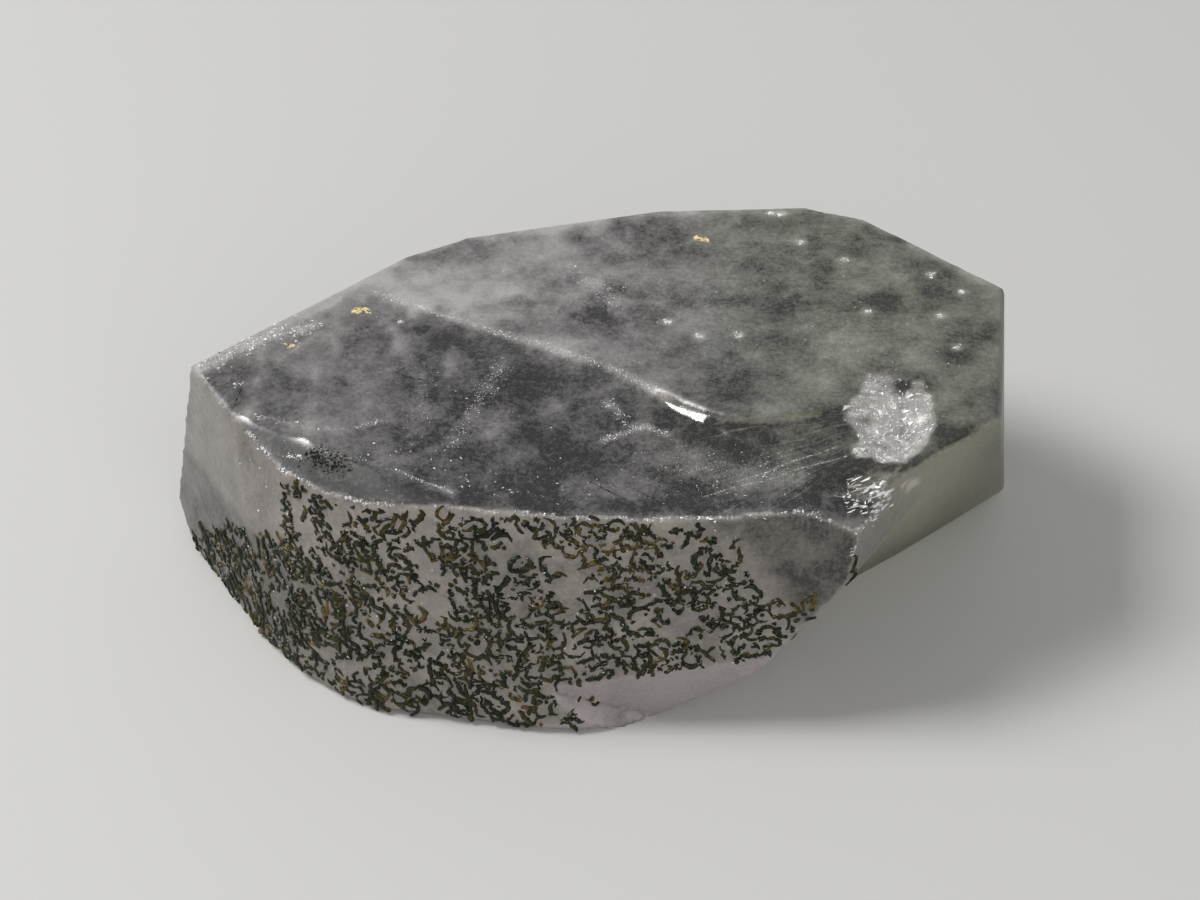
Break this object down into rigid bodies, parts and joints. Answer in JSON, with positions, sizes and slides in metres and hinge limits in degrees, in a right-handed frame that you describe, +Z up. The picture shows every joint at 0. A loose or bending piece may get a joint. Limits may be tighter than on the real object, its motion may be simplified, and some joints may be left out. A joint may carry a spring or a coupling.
{
  "type": "apatite crystal",
  "caption": "Loose tabular crystal with flat side faces, a stepped shell-shaped fracture across the front of its top, an undercut right end and raised dark mineral grains on its front.",
  "frame": {"origin": "middle of the box's bottom, in the plane of the base face that the crystal lies on", "axes": "+Z up from the base face, +X along the crystal's length to its undercut end, -Y towards the grain-covered front"},
  "size_m": [0.05, 0.031, 0.015],
  "materials": {
    "crystal": "frosted faces, glassy fracture"
  },
  "bodies": {
    "root": {"crystal": "crystal"}
  },
  "joints": []
}
